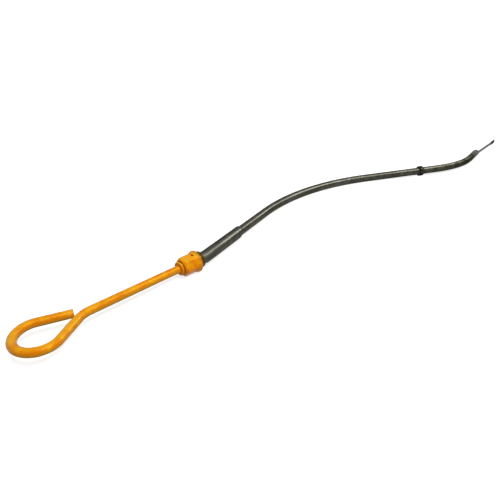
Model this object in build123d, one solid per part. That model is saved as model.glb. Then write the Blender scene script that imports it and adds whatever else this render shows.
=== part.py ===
from build123d import *
from math import cos, radians, sin, sqrt, tan
import os

# Engine oil dipstick seated in its bent guide tube, lying on the floor as it comes to rest.
# The bends lie in one layout plane. Its X axis runs along the cap, from the handle to the tip,
# and its origin is the middle of the flange's lower face.

# Handle bar
rod_dia = 7.5
shank_length = 89.0
neck_radius = 22.0
neck_turn = 31.8
arm_out = 25.7
loop_radius = 17.9
loop_turn = 232.4
arm_back = 27.3
rod_end_chamfer = 0.5
rod_tail = 6.0
saw_cut_depth = 6.0

# Hexagon cap that flares to a flange towards the tube
hex_flats = 17.0
hex_length = 16.9
hex_roll = 5.0
hex_edge_radius = 1.2
chamfer_face_dia = 15.0
chamfer_angle = 40.0
flange_dia = 21.7
flange_width = 1.3
flange_slope = 19.5
flange_edge_radius = 0.6
groove_dia = 11.6
groove_width = 1.3
boss_dia = 13.8
boss_length = 1.7
boss_edge_radius = 1.5
socket_depth = 2.8
press_gap = 0.02

# Spring pin across the cap and the bar
pin_dia = 2.0
pin_bore = 1.0
pin_slit = 0.4
pin_recess = 0.6
pin_from_socket = 2.2

# Rubber seal in the cap's socket, with a long lip outside it
seal_wall = 0.8
seal_floor = 1.0
seal_lip_width = 5.4
seal_lip_dia = 16.5
seal_lip_radius = 0.9
seal_gap = 0.03

# Upper tube, set over just below the cap
upper_dia = 12.5
mouth_run = 2.8
mouth_radius = 25.0
mouth_turn = 14.7
upper_run = 63.4
tube_lap = 20.0
nose_length = 3.0
nose_step = 0.9
braze_gap = 0.05

# Lower tube
lower_dia = 10.0
lower_wall = 1.5
lower_run = 59.3
main_radius = 255.5
main_turn = 43.8
collar_run = 88.3
end_run = 28.1
end_radius = 140.0
end_turn = 36.5
open_run = 39.3
open_chamfer = 0.4

# Stop collar
collar_dia = 14.0
collar_width = 6.0
collar_edge_radius = 0.8

# Gauge blade, which leaves the tube against the outer side of its open end
blade_thickness = 0.8
blade_width = 4.2
blade_end_radius = 182.0
blade_lag = 4.0
blade_gap = 0.05
blade_reach = 99.0
paddle_length = 24.0
paddle_width = 6.0
paddle_shoulder = 3.0
mark_dia = 1.2
mark_spacing = 14.0
mark_from_tip = 5.0
hatch_pitch = 1.5
hatch_width = 0.3
hatch_depth = 0.12


def direction(angle):
    return Vector(cos(radians(angle)), sin(radians(angle)), 0)


def setback(radius, turn):
    """Distance from a bend's corner to where its arc starts."""
    return radius * tan(radians(turn) / 2)


def trace(start, angle, steps):
    """Straight runs (length,) and tangent bends (radius, turn), end to end; a left turn is positive."""
    edges = []
    point, tangent = start, direction(angle)
    for step in steps:
        if len(step) == 1:
            edge = Line(point, point + tangent * step[0])
        else:
            edge = JernArc(point, tangent, step[0], step[1])
        edges.append(edge)
        point, tangent = edge @ 1, edge % 1
    return edges


def bar(profile, edges):
    """Sweep a profile, drawn square to the path, along a traced path."""
    first = edges[0]
    square = Plane(first @ 0, x_dir=(0, 0, 1), z_dir=first % 0)
    return sweep(square * profile, path=Wire([edge.edge() for edge in edges]))


def ring_profile(outer, inner):
    return Circle(outer / 2) - Circle(inner / 2)


def rims(piece, dia):
    """The round edges of one diameter."""
    circles = piece.edges().filter_by(GeomType.CIRCLE)
    return circles.filter_by(lambda edge: abs(edge.radius - dia / 2) < 0.01)


# Places along the cap
flange_face = -flange_width
groove_end = flange_face - hex_length
groove_start = groove_end - groove_width
boss_face = groove_start - boss_length
socket_floor = -socket_depth
mouth_face = socket_floor + seal_floor
pin_place = socket_floor - pin_from_socket
mouth_bend = seal_lip_width + mouth_run
corner_mouth = mouth_bend + setback(mouth_radius, mouth_turn)
rod_foot = socket_floor + rod_tail

# Sizes that follow from a fit
upper_bore = lower_dia + 2 * braze_gap
lower_bore = lower_dia - 2 * lower_wall
socket_dia = upper_dia + 2 * seal_wall
hex_corner = hex_flats / cos(radians(30))
blade_offset = sqrt((lower_bore / 2 - blade_gap) ** 2 - (blade_width / 2) ** 2) - blade_thickness / 2
lower_heading = mouth_turn - main_turn
open_heading = lower_heading + end_turn

# Tube paths
upper_path = trace(
    Vector(mouth_face, 0),
    0,
    [(mouth_bend - mouth_face,), (mouth_radius, mouth_turn), (upper_run,)],
)
nose_end = upper_path[-1] @ 1
lower_path = trace(
    nose_end - direction(mouth_turn) * tube_lap,
    mouth_turn,
    [
        (tube_lap + lower_run,),
        (main_radius, -main_turn),
        (collar_run,),
        (end_run,),
        (end_radius, end_turn),
        (open_run,),
    ],
)
belly = lower_path[1] @ 0.5
collar_centre = lower_path[2] @ 1
open_end = lower_path[-1] @ 1

# The blade starts to bend where it leaves the bar. It turns a little less than the tube's last bend
# and springs against the outer side of the open end.
mouth_setback = corner_mouth - rod_foot
blade_mouth_radius = mouth_setback / tan(radians(mouth_turn) / 2)
blade_turn = end_turn - blade_lag
blade_heading = lower_heading + blade_turn
blade_exit = open_end + direction(open_heading - 90) * blade_offset
end_corner = lower_path[3] @ 1 + direction(lower_heading) * setback(end_radius, end_turn)
exit_side = (blade_exit - end_corner).dot(direction(lower_heading + 90))
exit_along = (blade_exit - end_corner).dot(direction(lower_heading))
blade_corner = exit_along - exit_side / tan(radians(blade_turn))
blade_setback = setback(blade_end_radius, blade_turn)
blade_start = rod_foot - saw_cut_depth
paddle_start = blade_reach - paddle_length
blade_path = trace(
    Vector(blade_start, 0),
    0,
    [
        (saw_cut_depth,),
        (blade_mouth_radius, mouth_turn),
        (corner_mouth - mouth_bend + upper_run + lower_run - mouth_setback,),
        (main_radius, -main_turn),
        (collar_run + end_run + setback(end_radius, end_turn) + blade_corner - blade_setback,),
        (blade_end_radius, blade_turn),
        (exit_side / sin(radians(blade_turn)) - blade_setback + paddle_start,),
    ],
)

# The whole rests on the cap's flange, the belly of the main bend and the stop collar
cap_foot = Vector(-flange_edge_radius, 0, flange_dia / 2)
belly_foot = Vector(belly.X, belly.Y, lower_dia / 2)
collar_foot = Vector(collar_centre.X, collar_centre.Y, collar_dia / 2)
upright = (collar_foot - cap_foot).cross(belly_foot - cap_foot).normalized()
centre_height = cap_foot.Z + upright.X * cap_foot.X / upright.Z
layout = Plane((0, 0, centre_height), x_dir=(1, 0, -upright.X / upright.Z), z_dir=upright)
# The handle turns freely in the seal, so its loop lies level
level = Plane(layout.origin, x_dir=layout.x_dir, z_dir=layout.x_dir.cross(Vector(0, 1, 0)))


def across_cap(place):
    """A plane square to the cap's axis."""
    return Plane((place, 0, 0), x_dir=(0, 1, 0), z_dir=(1, 0, 0))


def turned(points):
    """Revolve an outline of (place along the cap, radius) points about the cap's axis."""
    return revolve(make_face(Polyline(*points, close=True)), Axis.X)


# Handle bar: shank, neck and teardrop loop, then a saw cut across its lower end for the blade
handle_path = trace(
    Vector(rod_foot, 0),
    180,
    [
        (rod_foot - boss_face + shank_length,),
        (neck_radius, neck_turn),
        (arm_out,),
        (loop_radius, -loop_turn),
        (arm_back,),
    ],
)
handle_rod = bar(Circle(rod_dia / 2), handle_path)
free_end = rims(handle_rod, rod_dia).sort_by_distance(handle_path[-1] @ 1)[0]
handle_rod = chamfer([free_end], rod_end_chamfer)
saw_cut = Pos(rod_foot - saw_cut_depth, 0, 0) * Box(
    2 * saw_cut_depth,
    blade_thickness + 2 * press_gap,
    2 * rod_dia,
    align=(Align.MIN, Align.CENTER, Align.CENTER),
)
across_flats = Pos(pin_place, 0, 0) * Rot(hex_roll, 0, 0)
cross_hole = across_flats * Cylinder(pin_dia / 2, 2 * hex_flats)
handle_rod -= cross_hole

# Hexagon cap: flared flange, hexagon chamfered at its upper end, groove and boss,
# bored for the bar and the seal
hexagon = RegularPolygon(hex_flats / 2, 6, major_radius=False, rotation=hex_roll)
hexagon = extrude(across_cap(flange_face) * hexagon, -hex_length)
hexagon = fillet(hexagon.edges().filter_by(Axis.X), hex_edge_radius)
face_radius = chamfer_face_dia / 2
chamfer_run = (hex_corner / 2 - face_radius) * tan(radians(chamfer_angle))
hexagon &= turned(
    [
        (groove_end, 0),
        (groove_end, face_radius),
        (groove_end + chamfer_run, hex_corner / 2),
        (flange_face, hex_corner / 2),
        (flange_face, 0),
    ]
)
flare_radius = hex_flats / 2 - hex_edge_radius
flare_face = flange_face - (flange_dia / 2 - flare_radius) / tan(radians(flange_slope))
flange = turned(
    [
        (flare_face, 0),
        (flare_face, flare_radius),
        (flange_face, flange_dia / 2),
        (0, flange_dia / 2),
        (0, 0),
    ]
)
flange = fillet(rims(flange, flange_dia), flange_edge_radius)
boss = extrude(across_cap(boss_face) * Circle(boss_dia / 2), boss_length)
boss = fillet([rims(boss, boss_dia).sort_by(Axis.X)[0]], boss_edge_radius)
groove = extrude(across_cap(groove_start) * Circle(groove_dia / 2), groove_width)
rod_bore = rod_dia + 2 * press_gap
hex_cap = hexagon + flange + groove + boss
hex_cap -= turned(
    [
        (boss_face, 0),
        (boss_face, rod_bore / 2),
        (socket_floor, rod_bore / 2),
        (socket_floor, socket_dia / 2 + seal_gap),
        (0, socket_dia / 2 + seal_gap),
        (0, 0),
    ]
)
hex_cap -= cross_hole

# Slotted spring pin
pin_length = hex_flats - 2 * pin_recess
cap_pin = Cylinder(pin_dia / 2 - press_gap, pin_length) - Cylinder(pin_bore / 2, pin_length)
cap_pin -= Pos(pin_dia / 2, 0, 0) * Box(pin_dia, pin_slit, pin_length)
cap_pin = across_flats * cap_pin

# Rubber seal: floor, sleeve and rounded lip
cap_seal = turned(
    [
        (socket_floor + seal_gap, rod_dia / 2 + seal_gap),
        (socket_floor + seal_gap, socket_dia / 2),
        (seal_gap, socket_dia / 2),
        (seal_gap, seal_lip_dia / 2),
        (seal_lip_width, seal_lip_dia / 2),
        (seal_lip_width, upper_dia / 2 + seal_gap),
        (mouth_face - seal_gap, upper_dia / 2 + seal_gap),
        (mouth_face - seal_gap, rod_dia / 2 + seal_gap),
    ]
)
lip_edge = rims(cap_seal, seal_lip_dia).sort_by(Axis.X)[-1]
cap_seal = fillet([lip_edge], seal_lip_radius)

# Upper tube with its nose tapered down to the lower tube
upper_tube = bar(ring_profile(upper_dia, upper_bore), upper_path)
nose_edge = rims(upper_tube, upper_dia).sort_by_distance(nose_end)[0]
nose_face = upper_tube.faces().sort_by_distance(nose_end)[0]
upper_tube = chamfer([nose_edge], nose_step, nose_length, reference=nose_face)

# Lower tube, open at both ends, with its outer rim eased
lower_tube = bar(ring_profile(lower_dia, lower_bore), lower_path)
open_rim = rims(lower_tube, lower_dia).sort_by_distance(open_end)[0]
lower_tube = chamfer([open_rim], open_chamfer)

# Stop collar brazed on the straight run
collar_seat = Plane(collar_centre, x_dir=(0, 0, 1), z_dir=direction(lower_heading))
stop_collar = extrude(
    collar_seat * ring_profile(collar_dia, lower_dia + 2 * braze_gap), collar_width / 2, both=True
)
stop_collar = fillet(rims(stop_collar, collar_dia), collar_edge_radius)

# Gauge blade: a flat strip on edge, with a wider paddle for two level marks and the hatching
gauge_blade = bar(Rectangle(blade_width, blade_thickness), blade_path)
paddle_plane = Plane(blade_path[-1] @ 1, x_dir=direction(blade_heading), z_dir=direction(blade_heading - 90))
tip_radius = paddle_width / 2
outline = Polyline(
    (0, blade_width / 2),
    (paddle_shoulder, paddle_width / 2),
    (paddle_length - tip_radius, paddle_width / 2),
)
outline += RadiusArc(
    (paddle_length - tip_radius, paddle_width / 2),
    (paddle_length - tip_radius, -paddle_width / 2),
    tip_radius,
)
outline += Polyline(
    (paddle_length - tip_radius, -paddle_width / 2),
    (paddle_shoulder, -paddle_width / 2),
    (0, -blade_width / 2),
    (0, blade_width / 2),
)
paddle = extrude(make_face(outline), blade_thickness / 2, both=True)
low_mark = paddle_length - mark_from_tip
high_mark = low_mark - mark_spacing
marks = Locations((low_mark, 0), (high_mark, 0))
paddle -= [place * Cylinder(mark_dia / 2, 2 * blade_thickness) for place in marks]

# Knurled hatching between the marks, on both faces and in both slants
hatch_start = high_mark + mark_dia
hatch_end = low_mark - mark_dia
hatch_count = int((hatch_end - hatch_start - paddle_width) / hatch_pitch) + 1
stroke = Box(paddle_width, hatch_width, hatch_depth * 2)
hatch_middle = (hatch_start + hatch_end) / 2
for side in (-1, 1):
    for slant in (-45, 45):
        rows = GridLocations(hatch_pitch, 1, hatch_count, 1)
        face = Pos(hatch_middle, 0, side * blade_thickness / 2)
        paddle -= [face * place * Rot(0, 0, slant) * stroke for place in rows]
gauge_blade += paddle_plane * paddle

# Put every piece in its frame, then set the origin on the floor under the middle of the whole
saw_cut = layout * saw_cut
placed = {
    "handle_rod": level * handle_rod - saw_cut,
    "hex_cap": level * hex_cap,
    "cap_pin": level * cap_pin,
    "cap_seal": level * cap_seal,
    "upper_tube": layout * upper_tube,
    "lower_tube": layout * lower_tube,
    "stop_collar": layout * stop_collar,
    "gauge_blade": layout * gauge_blade,
}
box = Compound(list(placed.values())).bounding_box()
to_origin = Pos(-box.center().X, -box.center().Y, -box.min.Z)

os.makedirs("parts", exist_ok=True)
for name, piece in placed.items():
    export_step(to_origin * piece, f"parts/{name}.step")
    print(name, round(piece.volume), "mm3")
print("overall size", box.size)
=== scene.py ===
import bpy
import bmesh
from math import atan2, ceil, cos, pi, radians, sin, tan
from mathutils import Matrix, Vector


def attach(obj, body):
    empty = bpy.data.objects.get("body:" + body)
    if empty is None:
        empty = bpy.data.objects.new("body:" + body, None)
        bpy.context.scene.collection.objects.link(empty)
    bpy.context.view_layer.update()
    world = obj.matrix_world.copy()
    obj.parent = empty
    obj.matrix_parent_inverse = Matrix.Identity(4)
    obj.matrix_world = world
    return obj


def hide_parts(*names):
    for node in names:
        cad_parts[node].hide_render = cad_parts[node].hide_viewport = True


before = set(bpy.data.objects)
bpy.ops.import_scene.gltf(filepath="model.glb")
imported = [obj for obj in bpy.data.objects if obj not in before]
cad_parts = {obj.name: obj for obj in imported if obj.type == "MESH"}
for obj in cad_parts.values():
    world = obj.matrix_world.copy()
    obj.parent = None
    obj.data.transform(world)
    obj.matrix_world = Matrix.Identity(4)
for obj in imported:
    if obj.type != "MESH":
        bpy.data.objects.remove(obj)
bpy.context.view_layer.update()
print("frame loaded,", len(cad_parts), "nodes")

# Every piece is modelled in millimetres on the bend plane, with its origin at the flange's lower face
# and X along the cap, then set down in the row frame in metres.
bendPlane = {
    "origin": (-0.2367759, 0.0129238, 0.0109381),
    "capLine": (0.99988691, 0.0, -0.01503903),
    "tubeNormal": (0.01501008, 0.06201817, 0.99796215),  # the tubes lean on belly and collar
    "handleNormal": (0.01503903, 0.0, 0.99988691),  # the loop lies level
    "scale": 0.001,
}
meshing = {
    "arcStep": 1.5,  # degrees of bend from ring to ring
    "spinSteps": 96,
    "sharp": 35,  # degrees, steeper folds shade as edges
    "rimGap": 0.05, "doubles": 0.0005,  # millimetres
    "sliver": 0.000002,  # metres
}
underShadeFall = {"upright": 0.53, "slope": 1.33}  # painted shade on an upright face, and how it fades as a face looks up


def planeMatrix(normal):
    xAxis = Vector(bendPlane["capLine"])
    zAxis = Vector(bendPlane[normal])
    turn = Matrix((xAxis, zAxis.cross(xAxis), zAxis)).transposed().to_4x4()
    return Matrix.Translation(bendPlane["origin"]) @ turn @ Matrix.Scale(bendPlane["scale"], 4)


def newVerts(geom):
    return [item for item in geom if isinstance(item, bmesh.types.BMVert)]


def rimOf(geom):
    verts = set(newVerts(geom))
    edges = [item for item in geom if isinstance(item, bmesh.types.BMEdge)]
    return [edge for edge in edges if verts.issuperset(edge.verts)]


def vertsOf(edges):
    return list({vert for edge in edges for vert in edge.verts})


def edgesAt(verts):
    return list({edge for vert in verts for edge in vert.link_edges})


def headingVector(heading):
    return Vector((cos(radians(heading)), sin(radians(heading)), 0))


# A ring square to the heading; "unbent" keeps each point's place on the straight stock (mm)
def startRing(bm, radius, place, heading, segments):
    layers = bm.verts.layers.float_vector
    unbent = layers.get("unbent") or layers.new("unbent")
    square = Matrix.Rotation(radians(heading), 4, "Z") @ Matrix.Rotation(pi / 2, 4, "Y")
    made = bmesh.ops.create_circle(bm, cap_ends=False, segments=segments, radius=radius)["verts"]
    for vert in made:
        vert[unbent] = Matrix.Rotation(pi / 2, 3, "Y") @ vert.co
    bmesh.ops.transform(bm, matrix=Matrix.Translation(place) @ square, verts=made)
    return edgesAt(made)


# Carries a ring along a table of ("run", length), ("bend", radius, turn) and ("taper", length, radius)
def followTable(bm, rim, place, heading, table):
    unbent = bm.verts.layers.float_vector["unbent"]
    place = Vector(place)
    for entry in table:
        if entry[0] == "bend":
            radius, turn = entry[1], entry[2]
            steps = max(2, ceil(abs(turn) / meshing["arcStep"]))
            side = 90 if turn > 0 else -90
            centre = place + headingVector(heading + side) * radius
            for step in range(steps):
                spun = bmesh.ops.spin(
                    bm, geom=rim + vertsOf(rim), cent=centre, axis=(0, 0, 1), dvec=(0, 0, 0),
                    angle=radians(turn / steps), steps=1, use_merge=False, use_duplicate=False,
                )["geom_last"]
                rim = rimOf(spun)
                for vert in newVerts(spun):
                    vert[unbent].x += radius * radians(abs(turn) / steps)
            heading += turn
            place = centre + headingVector(heading - side) * radius
        else:
            made = bmesh.ops.extrude_edge_only(bm, edges=rim)["geom"]
            verts = newVerts(made)
            rim = rimOf(made)
            place = place + headingVector(heading) * entry[1]
            bmesh.ops.translate(bm, vec=headingVector(heading) * entry[1], verts=verts)
            if entry[0] == "taper":
                grow = entry[2] / (verts[0].co - place).length
                bmesh.ops.scale(
                    bm, vec=(grow, grow, grow), space=Matrix.Translation(-place), verts=verts,
                )
            for vert in verts:
                vert[unbent].x += entry[1]
    return rim, place, heading


# Draws a tube's outer rim in to the rim of its bore and joins them
def closeEnd(bm, skinRim, boreRim):
    made = bmesh.ops.extrude_edge_only(bm, edges=skinRim)["geom"]
    verts, inner = newVerts(made), vertsOf(boreRim)
    middle = sum((vert.co for vert in inner), Vector()) / len(inner)
    shrink = (inner[0].co - middle).length / (verts[0].co - middle).length
    bmesh.ops.scale(bm, vec=(shrink, shrink, shrink), space=Matrix.Translation(-middle), verts=verts)
    bmesh.ops.remove_doubles(bm, verts=verts + inner, dist=meshing["rimGap"])


# Turns a ring about X on to each (place along X, radius) of an outline
def latheOn(bm, rim, outline):
    for along, radius in outline:
        made = bmesh.ops.extrude_edge_only(bm, edges=rim)["geom"]
        rim = rimOf(made)
        for vert in newVerts(made):
            flat = Vector((0, vert.co.y, vert.co.z)).normalized() * radius
            vert.co = (along, flat.y, flat.z)
    return rim


# Points round a corner of an outline
def roundOff(along, radius, size, start, end, steps=5):
    turns = [radians(start + (end - start) * step / steps) for step in range(steps + 1)]
    return [(along + size * cos(turn), radius + size * sin(turn)) for turn in turns]


# A closed outline of (place along X, radius) spun all the way round X
def spinOutline(bm, outline):
    verts = [bm.verts.new((along, 0, radius)) for along, radius in outline]
    edges = [bm.edges.new((verts[i - 1], verts[i])) for i in range(len(verts))]
    bmesh.ops.spin(
        bm, geom=verts + edges, cent=(0, 0, 0), axis=(1, 0, 0), dvec=(0, 0, 0),
        angle=2 * pi, steps=meshing["spinSteps"], use_merge=True, use_duplicate=False,
    )


def easeRim(bm, rim, size, segments):
    bmesh.ops.bevel(
        bm, geom=rim, offset=size, offset_type="OFFSET", segments=segments, profile=0.5,
        affect="EDGES", material=-1,
    )


def toObject(bm, name, matrix, dust=0.0):
    bmesh.ops.remove_doubles(bm, verts=bm.verts, dist=meshing["doubles"])
    bmesh.ops.recalc_face_normals(bm, faces=bm.faces)
    bmesh.ops.transform(bm, matrix=matrix, verts=bm.verts)
    bm.normal_update()
    skyward = bm.verts.layers.float.new("skyward")  # how far each point looks up
    # painted shade on what looks down, as strong as dust
    underShade = bm.verts.layers.float.new("underShade")
    for vert in bm.verts:
        vert[skyward] = vert.normal.z
        vert[underShade] = dust * min(1, max(0, underShadeFall["upright"] - underShadeFall["slope"] * vert.normal.z))
    for face in bm.faces:
        face.smooth = True
    mesh = bpy.data.meshes.new(name)
    bm.to_mesh(mesh)
    bm.free()
    made = bpy.data.objects.new(name, mesh)
    bpy.context.scene.collection.objects.link(made)
    return made


# Takes a cutter out of a piece and throws the cutter away
def cutAway(piece, cutter):
    cut = piece.modifiers.new("cut", "BOOLEAN")
    cut.operation = "DIFFERENCE"
    cut.solver = "EXACT"
    cut.object = cutter
    bpy.context.view_layer.update()
    graph = bpy.context.evaluated_depsgraph_get()
    mesh = bpy.data.meshes.new_from_object(piece.evaluated_get(graph))
    bm = bmesh.new()
    bm.from_mesh(mesh)
    bmesh.ops.dissolve_degenerate(bm, dist=meshing["sliver"], edges=bm.edges)  # slivers the cut leaves
    bm.to_mesh(mesh)
    bm.free()
    piece.modifiers.clear()
    piece.data = mesh
    bpy.data.objects.remove(cutter)


def fitPiece(piece, node, material, sharp=meshing["sharp"]):
    piece.data.set_sharp_from_angle(angle=radians(sharp))
    piece.data.materials.clear()
    piece.data.materials.append(material)
    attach(piece, "root")
    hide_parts(node)
    print(piece.name, "stands for", node + ",", len(piece.data.polygons), "faces")


def newFinish(name):
    material = bpy.data.materials.new(name)
    material.use_nodes = True
    return material, material.node_tree, material.node_tree.nodes["Principled BSDF"]


def addNode(tree, kind, **values):
    made = tree.nodes.new(kind)
    for name, value in values.items():
        if name in made.inputs:
            made.inputs[name].default_value = value
        else:
            setattr(made, name, value)
    return made


def objectCoords(tree):
    return tree.nodes.new("ShaderNodeTexCoord").outputs["Object"]


def attributeOf(tree, name):
    return addNode(tree, "ShaderNodeAttribute", attribute_name=name).outputs


def setSockets(shader, values):
    for name, value in values.items():
        shader.inputs[name].default_value = (*value, 1) if isinstance(value, tuple) else value


def grain(tree, coords, scale, detail, stretch=None):
    source = coords
    if stretch:
        mapping = addNode(tree, "ShaderNodeMapping", Scale=stretch)
        tree.links.new(coords, mapping.inputs["Vector"])
        source = mapping.outputs["Vector"]
    noise = addNode(tree, "ShaderNodeTexNoise", Scale=scale, Detail=detail)
    tree.links.new(source, noise.inputs["Vector"])
    return noise.outputs[0]


def remap(tree, value, low, high, toLow, toHigh):
    ranged = tree.nodes.new("ShaderNodeMapRange")
    numbers = {"From Min": low, "From Max": high, "To Min": toLow, "To Max": toHigh}
    for name, number in numbers.items():
        ranged.inputs[name].default_value = number
    tree.links.new(value, ranged.inputs["Value"])
    return ranged.outputs["Result"]


def blendColour(tree, factor, first, second):
    mix = tree.nodes.new("ShaderNodeMix")
    mix.data_type = "RGBA"
    tree.links.new(factor, mix.inputs[0])
    for index, colour in ((6, first), (7, second)):  # the node's A and B colours
        if isinstance(colour, tuple):
            mix.inputs[index].default_value = (*colour, 1)
        else:
            tree.links.new(colour, mix.inputs[index])
    return mix.outputs[2]


# Lays (height, strength, distance) bumps one over the other
def bumpOn(tree, shader, layers):
    normal = None
    for height, strength, distance in layers:
        bump = addNode(tree, "ShaderNodeBump", Strength=strength, Distance=distance)
        tree.links.new(height, bump.inputs["Height"])
        if normal:
            tree.links.new(normal, bump.inputs["Normal"])
        normal = bump.outputs["Normal"]
    tree.links.new(normal, shader.inputs["Normal"])


# In the finishes a grain is (scale, detail, stretch), a blend (from, to, share at from, share at to)
# and a bump (strength, distance).
grainSpan = (0.3, 0.7)  # most of a noise lies between these

enamel = {
    # deep and bright are the paint's orange and yellow; bright is also painted light on faces that look up
    "deep": (0.80, 0.218, 0.002),
    "bright": (0.90, 0.40, 0.006),
    # tone of the painted shade on what looks down
    "under": (0.66, 0.33, 0.02),
    # tone of the painted shade in the cap's groove and of the darker paint by the rim and on the loop
    "shadeAndDarkening": (0.22, 0.09, 0.008),
    "patches": (150, 3), "film": (260, 2), "peel": (1400, 2),
    "patchWeight": 3.0,
    "patchAndLightBlend": (1.75, 2.6, 0, 1),  # random patches, and a painted highlight on what looks up, go from deep to bright
    "filmBump": (0.35, 0.0006), "peelBump": (0.12, 0.0002),
    "roughness": (0.20, 0.32),
    "dull": 0.45,  # the painted shade on what looks down also makes it rougher
    "sockets": {"Specular IOR Level": 0.21, "Specular Tint": (1.0, 0.9, 0.15)},
}


def yellowEnamel():
    material, tree, shader = newFinish("yellowEnamel")
    coords = objectCoords(tree)
    patches, film, peel = (grain(tree, coords, *enamel[name]) for name in ("patches", "film", "peel"))
    # patches plus how far a face looks up: faces that look up get painted light, lighter and yellower
    patchesAndLitTops = addNode(tree, "ShaderNodeMath", operation="MULTIPLY_ADD")
    patchesAndLitTops.inputs[1].default_value = enamel["patchWeight"]
    tree.links.new(patches, patchesAndLitTops.inputs[0])
    tree.links.new(attributeOf(tree, "skyward")["Fac"], patchesAndLitTops.inputs[2])
    patchAndLightMix = remap(tree, patchesAndLitTops.outputs[0], *enamel["patchAndLightBlend"])
    tone = blendColour(tree, patchAndLightMix, enamel["deep"], enamel["bright"])
    # painted shade on what looks down, in the under tone
    dust = attributeOf(tree, "underShade")["Fac"]
    tone = blendColour(tree, dust, tone, enamel["under"])
    # painted shade in the groove, and darker paint by the cap's rim and towards the loop
    tone = blendColour(tree, attributeOf(tree, "shadeAndDarkening")["Fac"], tone, enamel["shadeAndDarkening"])
    tree.links.new(tone, shader.inputs["Base Color"])
    dull = addNode(tree, "ShaderNodeMath", operation="MULTIPLY_ADD", use_clamp=True)
    dull.inputs[1].default_value = enamel["dull"]
    tree.links.new(dust, dull.inputs[0])
    tree.links.new(remap(tree, film, *grainSpan, *enamel["roughness"]), dull.inputs[2])
    tree.links.new(dull.outputs[0], shader.inputs["Roughness"])
    bumpOn(tree, shader, [(film, *enamel["filmBump"]), (peel, *enamel["peelBump"])])
    setSockets(shader, enamel["sockets"])
    return material


steel = {
    "dark": (0.026, 0.0255, 0.017),
    "light": (0.074, 0.073, 0.061),
    "dust": (0.115, 0.113, 0.098),
    "rust": (0.095, 0.078, 0.062),
    # bare is rubbed steel, and also a painted highlight at the open end
    "bareAndLit": (0.22, 0.215, 0.205),
    "drawn": (1.0, 3, (0.012, 2.6, 2.6)), "streaks": (1.0, 2, (0.015, 0.30, 0.30)),
    "mottle": (0.16, 4), "specks": (1.6, 2),
    "mottleBlend": (0.35, 0.68, 0, 1),
    "dustBlend": (0, 400, 0.55, 0.0),  # thick by the cap, gone by the open end
    "streakBlend": (0.45, 0.62, 0, 0.7),
    "speckBlend": (0.62, 0.75, 0, 0.7),
    "bareAndLitBlend": (484, 506, 0, 0.45),  # rubbed bare at the open end, and painted lighter there as a highlight
    "drawnBump": (0.15, 0.0001), "speckBump": (0.18, 0.0001),
    "roughness": (0.26, 0.38),
    "sockets": {"Metallic": 1.0, "Specular Tint": (0.40, 0.40, 0.39)},
}


# The tubes' grain runs along the bent stock
def oiledSteel():
    material, tree, shader = newFinish("oiledSteel")
    coords = attributeOf(tree, "unbent")["Vector"]
    drawn, streaks, mottle, specks = (
        grain(tree, coords, *steel[name]) for name in ("drawn", "streaks", "mottle", "specks")
    )
    split = tree.nodes.new("ShaderNodeSeparateXYZ")
    tree.links.new(coords, split.inputs["Vector"])
    along = split.outputs["X"]
    tone = blendColour(tree, remap(tree, mottle, *steel["mottleBlend"]), steel["dark"], steel["light"])
    for value, blend, colour in (
        (along, "dustBlend", "dust"), (streaks, "streakBlend", "dark"),
        (specks, "speckBlend", "rust"), (along, "bareAndLitBlend", "bareAndLit"),
    ):
        tone = blendColour(tree, remap(tree, value, *steel[blend]), tone, steel[colour])
    tree.links.new(tone, shader.inputs["Base Color"])
    tree.links.new(remap(tree, drawn, *grainSpan, *steel["roughness"]), shader.inputs["Roughness"])
    bumpOn(tree, shader, [(drawn, *steel["drawnBump"]), (specks, *steel["speckBump"])])
    setSockets(shader, steel["sockets"])
    return material


blade = {
    "clean": (0.19, 0.187, 0.184),
    "oiled": (0.045, 0.043, 0.041),
    "rolled": (1.0, 3, (60, 2600, 2600)), "stain": (380, 3),
    "oilBlend": (0.384, 0.396, 0, 0.85),  # the tip is wet, metres along the row
    "stainBlend": (0.55, 0.8, 0, 0.5),
    "rolledBump": (0.1, 0.00005),
    "roughness": (0.28, 0.42),
    "sockets": {"Metallic": 1.0, "Specular Tint": (0.35, 0.35, 0.35)},
}


def bladeSteel():
    material, tree, shader = newFinish("bladeSteel")
    coords = objectCoords(tree)
    rolled, stain = (grain(tree, coords, *blade[name]) for name in ("rolled", "stain"))
    split = tree.nodes.new("ShaderNodeSeparateXYZ")
    tree.links.new(coords, split.inputs["Vector"])
    oil = remap(tree, split.outputs["X"], *blade["oilBlend"])
    tone = blendColour(tree, oil, blade["clean"], blade["oiled"])
    tone = blendColour(tree, remap(tree, stain, *blade["stainBlend"]), tone, blade["oiled"])
    tree.links.new(tone, shader.inputs["Base Color"])
    tree.links.new(remap(tree, rolled, *grainSpan, *blade["roughness"]), shader.inputs["Roughness"])
    bumpOn(tree, shader, [(rolled, *blade["rolledBump"])])
    setSockets(shader, blade["sockets"])
    return material


blackened = {
    "dark": (0.010, 0.010, 0.009), "light": (0.040, 0.039, 0.035),
    "mottle": (300, 3), "blend": (0.35, 0.65, 0, 1), "roughness": (0.26, 0.38),
    "pits": (2200, 2), "pitBump": (0.2, 0.0001),
    "sockets": {"Metallic": 1.0, "Specular Tint": (0.10, 0.10, 0.10)},
}
rubber = {
    "dark": (0.060, 0.032, 0.004), "light": (0.110, 0.068, 0.009),
    "mottle": (450, 3), "blend": (0.35, 0.7, 0, 1), "roughness": (0.24, 0.38),
    "pits": (3200, 2), "pitBump": (0.25, 0.0001),
    "sockets": {"Specular IOR Level": 0.09, "Specular Tint": (1.0, 0.85, 0.4)},
}
pin = {
    "dark": (0.20, 0.05, 0.008), "light": (0.40, 0.13, 0.02),
    "mottle": (1500, 3), "blend": (0.35, 0.65, 0, 1), "roughness": (0.4, 0.6),
    "pits": (1500, 3), "pitBump": (0.15, 0.00005),
    "sockets": {"Metallic": 0.3},
}


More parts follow.
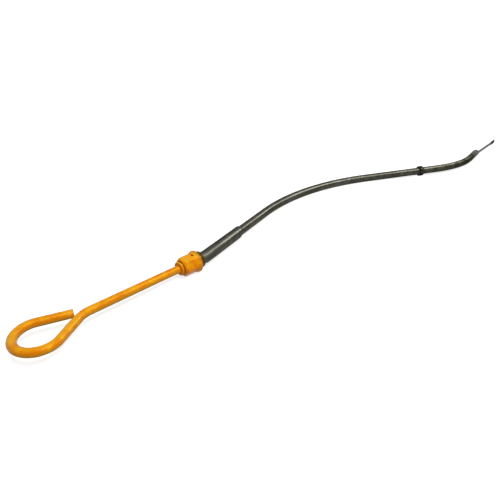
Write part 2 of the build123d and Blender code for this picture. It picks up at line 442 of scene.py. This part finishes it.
# Two tones and a roughness from one mottle, with fine pits over it
def mottledFinish(name, finish):
    material, tree, shader = newFinish(name)
    coords = objectCoords(tree)
    mottle, pits = (grain(tree, coords, *finish[layer]) for layer in ("mottle", "pits"))
    tone = blendColour(tree, remap(tree, mottle, *finish["blend"]), finish["dark"], finish["light"])
    tree.links.new(tone, shader.inputs["Base Color"])
    tree.links.new(remap(tree, mottle, *grainSpan, *finish["roughness"]), shader.inputs["Roughness"])
    bumpOn(tree, shader, [(pits, *finish["pitBump"])])
    setSockets(shader, finish["sockets"])
    return material


finishes = {
    "enamel": yellowEnamel(),
    "steel": oiledSteel(),
    "collar": mottledFinish("blackenedSteel", blackened),
    "rubber": mottledFinish("sealRubber", rubber),
    "blade": bladeSteel(),
    "pin": mottledFinish("pinSteel", pin),
}
print("finishes mixed,", len(finishes))

# Handle bar: shank, neck and teardrop loop
handle = {
    "radius": 3.75, "foot": 3.2, "heading": 180, "segments": 64, "endEase": 0.5, "endSteps": 4,
    "bends": [
        ("run", 113.4), ("bend", 22.0, 31.8), ("run", 25.7), ("bend", 17.9, -232.4), ("run", 27.3),
    ],
    "sawDepth": 6.0, "sawWidth": 0.84,
    "holeAt": -5.0, "holeRadius": 1.0, "holeRoll": 5.0, "holeSegments": 32,
    "cutThrough": 20,
    # dust is the strength of the painted shade on what looks down
    "loopDarkening": 0.06, "dust": 1.0,
}


def makeHandle():
    bm = bmesh.new()
    foot, heading = (handle["foot"], 0, 0), handle["heading"]
    first = startRing(bm, handle["radius"], foot, heading, handle["segments"])
    last = followTable(bm, first, foot, heading, handle["bends"])[0]
    bmesh.ops.edgeloop_fill(bm, edges=first)
    bmesh.ops.edgeloop_fill(bm, edges=last)
    easeRim(bm, last, handle["endEase"], handle["endSteps"])
    unbent = bm.verts.layers.float_vector["unbent"]
    shadeAndDarkening = bm.verts.layers.float.new("shadeAndDarkening")
    for vert in bm.verts:  # the paint darkens a little along the bar towards the loop
        vert[shadeAndDarkening] = handle["loopDarkening"] * min(1, vert[unbent].x / handle["bends"][0][1])
    bar = toObject(bm, "handleBar", planeMatrix("handleNormal"), handle["dust"])
    slot = Matrix.Diagonal((2 * handle["sawDepth"], handle["sawWidth"], handle["cutThrough"], 1))
    bm = bmesh.new()
    bmesh.ops.create_cube(bm, size=1, matrix=Matrix.Translation(foot) @ slot)
    cutAway(bar, toObject(bm, "sawCutter", planeMatrix("tubeNormal")))
    tilt = Matrix.Rotation(radians(handle["holeRoll"]), 4, "X")
    bm = bmesh.new()
    bmesh.ops.create_cone(
        bm, cap_ends=True, segments=handle["holeSegments"], radius1=handle["holeRadius"],
        radius2=handle["holeRadius"], depth=handle["cutThrough"],
        matrix=Matrix.Translation((handle["holeAt"], 0, 0)) @ tilt,
    )
    cutAway(bar, toObject(bm, "drillCutter", planeMatrix("handleNormal")))
    fitPiece(bar, "handle_rod", finishes["enamel"])


# Hexagon cap: chamfered on the handle side, flared to a flange on the tube side, with groove and boss
cap = {
    "flats": 17.0, "roll": 5.0, "edgeEase": 2.0, "segments": 144, "step": 0.35,
    "faceAt": -18.2, "faceRadius": 7.5, "chamfer": 40, "brow": 0.5,  # the brow eases the chamfer
    "flangeRadius": 10.85, "flangeWidth": 1.3, "flangeSlope": 19.5, "flangeEase": 0.6,
    "paintFillet": 0.25,  # where the flare leaves the flats
    "grooveRadius": 5.8, "grooveWidth": 1.3,
    "bossRadius": 6.9, "bossLength": 1.7, "bossEase": 1.5, "easeSteps": 8, "bossBrink": 0.2, "brinkSteps": 3,
    "boreRadius": 3.77, "socketRadius": 7.08, "socketDepth": 2.8,
    "holeAt": -5.0, "holeRadius": 1.0, "holeFlare": 0.3, "holeSegments": 40, "holeOver": 1,
    # dust is the strength of the painted shade on what looks down, a third of the bar's
    "dust": 0.3, "grooveShade": 0.4, "grooveReach": 6.4, "grooveSlack": 0.1,
    "rimDarkening": (0.35, 0.7), "rimDarkeningRise": 1.8,  # at the side and on top
    "sharp": 32,
}


# Radius of the hexagon with eased edges, at an angle round it
def hexReach(turn):
    half, ease = cap["flats"] / 2, cap["edgeEase"]
    off = abs((turn - radians(cap["roll"])) % (pi / 3) - pi / 6)  # from the middle of a flat
    if half * tan(off) <= (half - ease) * tan(pi / 6):
        return half / cos(off)
    hub = (half - ease) / cos(pi / 6)
    return hub * cos(pi / 6 - off) + (ease ** 2 - (hub * sin(pi / 6 - off)) ** 2) ** 0.5


# Nothing below a step and its height above, with the corner between them rounded
def softStep(height, width):
    return (height + (height ** 2 + width ** 2) ** 0.5) / 2


# Radius of the cap at a place along it and an angle round it: chamfer, hexagon, flare and rim
def capReach(along, turn):
    chamfer = cap["faceRadius"] + (along - cap["faceAt"]) / tan(radians(cap["chamfer"]))
    hexagon = chamfer - softStep(chamfer - hexReach(turn), cap["brow"])
    if along <= cap["faceAt"] / 2:
        return hexagon
    slope = tan(radians(cap["flangeSlope"]))
    flare = cap["flangeRadius"] + min(0, along + cap["flangeWidth"]) * slope
    return hexagon + softStep(flare - hexagon, cap["paintFillet"])


# Painted shade in the groove; along the rim by the seal the paint is darker, most on top
def shadeAndDarkenCap(bm, groove):
    shadeAndDarkening = bm.verts.layers.float.new("shadeAndDarkening")
    side, top = cap["rimDarkening"]
    slack = cap["grooveSlack"]
    for vert in bm.verts:
        radius = Vector((0, vert.co.y, vert.co.z)).length
        if radius < cap["grooveReach"]:
            # painted shade down in the groove
            sunk = groove - slack < vert.co.x < cap["faceAt"] + slack
            vert[shadeAndDarkening] = cap["grooveShade"] if sunk else 0.0
        else:
            # darker along the rim by the seal, most on top
            up = max(0, vert.co.z / radius)
            band = cap["flangeWidth"] * (1 + up)
            rise = cap["rimDarkeningRise"] * (1 + vert.co.x / band)
            vert[shadeAndDarkening] = (side + (top - side) * up) * min(1, max(0, rise))


def makeCap():
    face, ease = cap["faceAt"], cap["flangeEase"]
    square = Matrix.Rotation(pi / 2, 4, "Y")
    bm = bmesh.new()
    upper = edgesAt(bmesh.ops.create_circle(
        bm, cap_ends=False, segments=cap["segments"], radius=cap["faceRadius"],
        matrix=Matrix.Translation((face, 0, 0)) @ square,
    )["verts"])
    lower = upper
    steps = ceil((-ease - face) / cap["step"])
    for i in range(1, steps + 1):
        along = face + (-ease - face) * i / steps
        grown = bmesh.ops.extrude_edge_only(bm, edges=lower)["geom"]
        lower = rimOf(grown)
        for vert in newVerts(grown):
            turn = atan2(vert.co.z, vert.co.y)
            reach = min(capReach(along, turn), cap["flangeRadius"])
            vert.co = (along, reach * cos(turn), reach * sin(turn))
    lower = latheOn(bm, lower, roundOff(-ease, cap["flangeRadius"] - ease, ease, 90, 0)[1:])
    groove = face - cap["grooveWidth"]
    bossFace = groove - cap["bossLength"]
    boss, dome, brink = cap["bossRadius"], cap["bossEase"], cap["bossBrink"]
    inner = [(face, cap["grooveRadius"]), (groove, cap["grooveRadius"])]
    inner += roundOff(groove - brink, boss - brink, brink, 0, 90, cap["brinkSteps"])
    inner += roundOff(bossFace + dome, boss - dome, dome, 90, 180, cap["easeSteps"])
    inner += [(bossFace, cap["boreRadius"]), (-cap["socketDepth"], cap["boreRadius"])]
    inner += [(-cap["socketDepth"], cap["socketRadius"]), (0, cap["socketRadius"])]
    upper = latheOn(bm, upper, inner)
    bmesh.ops.bridge_loops(bm, edges=upper + lower)
    shadeAndDarkenCap(bm, groove)
    hexCap = toObject(bm, "hexCap", planeMatrix("handleNormal"), cap["dust"])
    half, flare, over = cap["flats"] / 2, cap["holeFlare"], cap["holeOver"]
    mouth = cap["holeRadius"] + flare + over
    bm = bmesh.new()
    rim = edgesAt(bmesh.ops.create_circle(
        bm, cap_ends=True, segments=cap["holeSegments"], radius=mouth,
        matrix=Matrix.Translation((-half - over, 0, 0)) @ square,
    )["verts"])
    drill = [(flare - half, cap["holeRadius"]), (half - flare, cap["holeRadius"]), (half + over, mouth)]
    rim = latheOn(bm, rim, drill)
    bmesh.ops.edgeloop_fill(bm, edges=rim)
    upright = Matrix.Rotation(radians(cap["roll"]), 4, "X") @ Matrix.Rotation(-pi / 2, 4, "Y")
    place = planeMatrix("handleNormal") @ Matrix.Translation((cap["holeAt"], 0, 0)) @ upright
    cutAway(hexCap, toObject(bm, "crossDrill", place))
    fitPiece(hexCap, "hex_cap", finishes["enamel"], cap["sharp"])


# Rubber seal: sleeve in the cap, lip outside it with a parting line
seal = {
    "floor": -2.77, "tubeStop": -1.83, "barRadius": 3.78, "tubeRadius": 6.28, "socketRadius": 7.05,
    "lipFrom": 0.03, "lipTo": 5.4, "lipRadius": 8.25, "lipEase": 0.9, "lipBreak": 0.3,
    "partingWidth": 0.06, "partingDepth": 0.1,
}


def makeSeal():
    ease, lip, broken = seal["lipEase"], seal["lipRadius"], seal["lipBreak"]
    middle = (seal["lipFrom"] + seal["lipTo"]) / 2
    width, sunk = seal["partingWidth"], lip - seal["partingDepth"]
    outline = [(seal["floor"], seal["barRadius"]), (seal["floor"], seal["socketRadius"])]
    outline += [(seal["lipFrom"], seal["socketRadius"]), (seal["lipFrom"], lip - broken)]
    outline += [(seal["lipFrom"] + broken, lip), (middle - 2 * width, lip), (middle - width, sunk)]
    outline += [(middle, sunk), (middle + width, lip)]
    outline += roundOff(seal["lipTo"] - ease, lip - ease, ease, 90, 0)
    outline += [(seal["lipTo"], seal["tubeRadius"]), (seal["tubeStop"], seal["tubeRadius"])]
    outline += [(seal["tubeStop"], seal["barRadius"])]
    bm = bmesh.new()
    spinOutline(bm, outline)
    piece = toObject(bm, "capSeal", planeMatrix("handleNormal"))
    fitPiece(piece, "cap_seal", finishes["rubber"])


# Guide tubes; the upper one's nose is drawn in and cut askew (mm along it for each mm across and up)
upperTube = {
    "radius": 6.25, "bore": 5.05, "mouth": -1.8, "segments": 72,
    "bends": [("run", 10.0), ("bend", 25.0, 14.7), ("run", 60.0)],
    "nose": [
        ("taper", 0.5, 6.2), ("taper", 0.6, 6.02), ("taper", 1.5, 5.52), ("taper", 0.6, 5.38),
        ("taper", 0.2, 5.3),
    ],
    "skew": (0.33, 0.37), "skewBack": 0.6, "noseSlack": 0.01,
}
lowerTube = {
    "radius": 5.0, "bore": 3.5, "lap": 20.0, "segments": 64, "rimEase": 0.4, "rimSteps": 3,
    "toCollar": [("run", 79.3), ("bend", 255.5, -43.8), ("run", 88.3)],
    "toEnd": [("run", 28.1), ("bend", 140.0, 36.5), ("run", 39.3)],
}


def makeUpperTube():
    bm = bmesh.new()
    mouth = (upperTube["mouth"], 0, 0)
    table = upperTube["bends"]
    tail = sum(entry[1] for entry in upperTube["nose"])
    firstSkin = startRing(bm, upperTube["radius"], mouth, 0, upperTube["segments"])
    lastSkin, place, heading = followTable(bm, firstSkin, mouth, 0, table + upperTube["nose"])
    firstBore = startRing(bm, upperTube["bore"], mouth, 0, upperTube["segments"])
    lastBore = followTable(bm, firstBore, mouth, 0, table + [("run", tail)])[0]
    closeEnd(bm, firstSkin, firstBore)
    closeEnd(bm, lastSkin, lastBore)
    onward = headingVector(heading)
    across, up = upperTube["skew"]
    askew = headingVector(heading + 90) * across + Vector((0, 0, up))
    for vert in bm.verts:
        if (vert.co - place).dot(onward) > -tail - upperTube["noseSlack"]:
            vert.co += onward * ((vert.co - place).dot(askew) - upperTube["skewBack"])
    piece = toObject(bm, "upperTube", planeMatrix("tubeNormal"))
    fitPiece(piece, "upper_tube", finishes["steel"])
    return place, heading


def makeLowerTube(noseEnd, heading):
    start = noseEnd - headingVector(heading) * lowerTube["lap"]
    bm = bmesh.new()
    firstSkin = startRing(bm, lowerTube["radius"], start, heading, lowerTube["segments"])
    rim, place, turned = followTable(bm, firstSkin, start, heading, lowerTube["toCollar"])
    lastSkin = followTable(bm, rim, place, turned, lowerTube["toEnd"])[0]
    firstBore = startRing(bm, lowerTube["bore"], start, heading, lowerTube["segments"])
    table = lowerTube["toCollar"] + lowerTube["toEnd"]
    lastBore = followTable(bm, firstBore, start, heading, table)[0]
    closeEnd(bm, firstSkin, firstBore)
    closeEnd(bm, lastSkin, lastBore)
    easeRim(bm, lastSkin, lowerTube["rimEase"], lowerTube["rimSteps"])
    piece = toObject(bm, "lowerTube", planeMatrix("tubeNormal"))
    fitPiece(piece, "lower_tube", finishes["steel"])
    return place, turned


# Stop collar with its braze fillets
collar = {"radius": 7.0, "bore": 5.05, "half": 3.0, "ease": 0.8, "braze": 0.45, "brazeSteps": 4}


def makeCollar(place, heading):
    half, ease, braze, steps = (collar[name] for name in ("half", "ease", "braze", "brazeSteps"))
    outline = [(-half - braze, collar["bore"])]
    outline += roundOff(-half - braze, collar["bore"] + braze, braze, 270, 360, steps)[1:]
    outline += roundOff(ease - half, collar["radius"] - ease, ease, 180, 90)
    outline += roundOff(half - ease, collar["radius"] - ease, ease, 90, 0)
    outline += roundOff(half + braze, collar["bore"] + braze, braze, 180, 270, steps)
    bm = bmesh.new()
    spinOutline(bm, outline)
    turn = Matrix.Translation(place) @ Matrix.Rotation(radians(heading), 4, "Z")
    piece = toObject(bm, "stopCollar", planeMatrix("tubeNormal") @ turn)
    fitPiece(piece, "stop_collar", finishes["collar"])


makeHandle()
makeCap()
makeSeal()
noseEnd, noseHeading = makeUpperTube()
collarPlace, collarHeading = makeLowerTube(noseEnd, noseHeading)
makeCollar(collarPlace, collarHeading)
for node, finish in (("gauge_blade", "blade"), ("cap_pin", "pin")):
    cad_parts[node].material_slots[0].material = finishes[finish]
print("pieces placed")

# Floor, light and camera; the floor's glow is (metres from the part, strength)
stage = {
    "floor": (0.55, 0.55, 0.55), "roughness": 0.9,
    "glowNear": (0.35, 0.80), "glowFar": (0.9, 1.0),
    "worldFill": 0.08, "white": (1.0, 1.0, 1.0),
    "size": 30.0, "squares": 4, "drop": 0.00005,
}


# 1 for what is seen straight on, in a reflection or through glass, 0 for light cast on other things
def seenDirectly(tree):
    path = tree.nodes.new("ShaderNodeLightPath")
    seen = path.outputs["Is Camera Ray"]
    for ray in ("Is Glossy Ray", "Is Transmission Ray"):
        either = addNode(tree, "ShaderNodeMath", operation="ADD", use_clamp=True)
        tree.links.new(seen, either.inputs[0])
        tree.links.new(path.outputs[ray], either.inputs[1])
        seen = either.outputs[0]
    return seen


def makeFloor():
    bm = bmesh.new()
    bmesh.ops.create_grid(
        bm, x_segments=stage["squares"], y_segments=stage["squares"], size=stage["size"],
    )
    bmesh.ops.translate(bm, vec=(0, 0, -stage["drop"]), verts=bm.verts)
    mesh = bpy.data.meshes.new("paleFloor")
    bm.to_mesh(mesh)
    bm.free()
    floor = bpy.data.objects.new("paleFloor", mesh)
    bpy.context.scene.collection.objects.link(floor)
    material, tree, shader = newFinish("paleFloor")
    setSockets(shader, {
        "Base Color": stage["floor"], "Roughness": stage["roughness"],
        "Specular IOR Level": 0.0, "Emission Color": stage["white"],
    })
    reach = addNode(tree, "ShaderNodeVectorMath", operation="LENGTH")  # white away from the part
    tree.links.new(objectCoords(tree), reach.inputs[0])
    (near, dim), (far, full) = stage["glowNear"], stage["glowFar"]
    glow = addNode(tree, "ShaderNodeMath", operation="MULTIPLY")
    tree.links.new(remap(tree, reach.outputs["Value"], near, far, dim, full), glow.inputs[0])
    tree.links.new(seenDirectly(tree), glow.inputs[1])
    tree.links.new(glow.outputs[0], shader.inputs["Emission Strength"])
    mesh.materials.append(material)


def makeWorld():
    world = bpy.data.worlds.new("paleRoom")
    bpy.context.scene.world = world
    world.use_nodes = True
    tree = world.node_tree
    back = tree.nodes["Background"]
    setSockets(back, {"Color": stage["white"]})
    strength = remap(tree, seenDirectly(tree), 0, 1, stage["worldFill"], 1.0)
    tree.links.new(strength, back.inputs["Strength"])


lamps = {
    "softBox": {
        "place": (-0.24, -0.62, 1.30), "aim": (-0.3, 0.0, 0.0), "turn": 0,
        "long": 0.8, "wide": 0.8, "power": 20.2, "diffuse": True,
    },
    "stripBox": {
        "place": (1.1, -0.5, 1.2), "aim": (0.0, 0.0, 0.0), "turn": 21,
        "long": 1.9, "wide": 0.4, "power": 28, "diffuse": False,  # only streaks on the steel tubes
    },
}


def makeLamps():
    for name, lamp in lamps.items():
        light = bpy.data.lights.new(name, "AREA")
        light.shape = "RECTANGLE"
        light.size = lamp["long"]
        light.size_y = lamp["wide"]
        light.energy = lamp["power"]
        made = bpy.data.objects.new(name, light)
        back = (Vector(lamp["place"]) - Vector(lamp["aim"])).normalized()  # lamps shine along -Z
        side = headingVector(lamp["turn"])
        side = (side - back * side.dot(back)).normalized()
        turn = Matrix((side, back.cross(side), back)).transposed().to_4x4()
        made.matrix_world = Matrix.Translation(lamp["place"]) @ turn
        made.visible_camera = False
        made.visible_diffuse = lamp["diffuse"]
        bpy.context.scene.collection.objects.link(made)


shot = {
    "place": (-0.46214, -0.27698, 0.23349), "yaw": 45.969, "down": 30.045, "roll": 0.167,
    "lens": 31.942, "sensor": 36, "clip": 0.01,
}


def makeCamera():
    data = bpy.data.cameras.new("shot")
    data.sensor_fit = "HORIZONTAL"
    data.sensor_width = shot["sensor"]
    data.lens = shot["lens"]
    data.clip_start = shot["clip"]
    camera = bpy.data.objects.new("shot", data)
    yaw = Matrix.Rotation(-radians(shot["yaw"]), 4, "Z")
    pitch = Matrix.Rotation(pi / 2 - radians(shot["down"]), 4, "X")
    roll = Matrix.Rotation(radians(shot["roll"]), 4, "Z")
    camera.matrix_world = Matrix.Translation(shot["place"]) @ yaw @ pitch @ roll
    bpy.context.scene.collection.objects.link(camera)
    bpy.context.scene.camera = camera


makeFloor()
makeWorld()
makeLamps()
makeCamera()
bpy.context.scene.view_settings.view_transform = "Standard"
print("floor, light and camera set")
